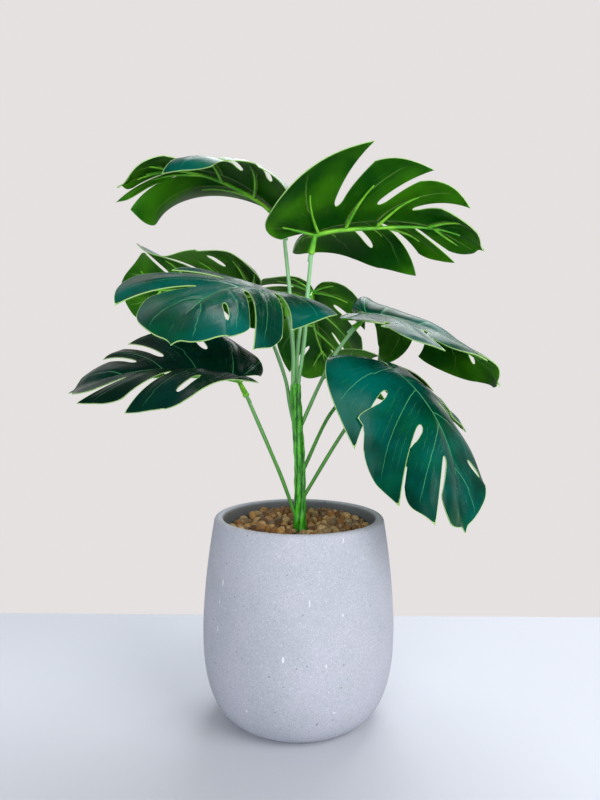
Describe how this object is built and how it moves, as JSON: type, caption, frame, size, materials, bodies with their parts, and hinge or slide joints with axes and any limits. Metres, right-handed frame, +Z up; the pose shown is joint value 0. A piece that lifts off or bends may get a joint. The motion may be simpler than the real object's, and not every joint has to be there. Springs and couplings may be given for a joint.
{
  "type": "potted artificial monstera plant",
  "caption": "Artificial monstera bush with split, holed leaves on thin stalks from one trunk, set in gravel in a round concrete pot; stands on its foot.",
  "frame": {"origin": "middle of the pot's flat foot, on the surface that it stands on", "axes": "+Z up along the pot's axis, +Y away from the side that the picture shows, +X to its right"},
  "size_m": [0.335, 0.3455, 0.4255],
  "materials": {
    "pot_concrete": "matt, fine sandy speckle",
    "filler_foam": "matt foam block",
    "gravel_stone": "matt rounded pebbles",
    "trunk_green": "satin, lumpy",
    "leaf_green": "coated cloth, satin",
    "rib_green": "satin moulded plastic",
    "stalk_green": "satin moulded plastic"
  },
  "bodies": {
    "root": {"pot": "pot_concrete", "filler": "filler_foam", "gravel": "gravel_stone", "trunk": "trunk_green", "blade_top_left": "leaf_green", "ribs_top_left": "rib_green", "stalk_top_left": "stalk_green", "blade_top_right": "leaf_green", "ribs_top_right": "rib_green", "stalk_top_right": "stalk_green", "blade_back_left": "leaf_green", "ribs_back_left": "rib_green", "stalk_back_left": "stalk_green", "blade_front": "leaf_green", "ribs_front": "rib_green", "stalk_front": "stalk_green", "blade_low_left": "leaf_green", "ribs_low_left": "rib_green", "stalk_low_left": "stalk_green", "blade_back": "leaf_green", "ribs_back": "rib_green", "stalk_back": "stalk_green", "blade_right": "leaf_green", "ribs_right": "rib_green", "stalk_right": "stalk_green", "blade_low_right": "leaf_green", "ribs_low_right": "rib_green", "stalk_low_right": "stalk_green", "blade_behind_right": "leaf_green", "ribs_behind_right": "rib_green", "stalk_behind_right": "stalk_green"}
  },
  "joints": []
}
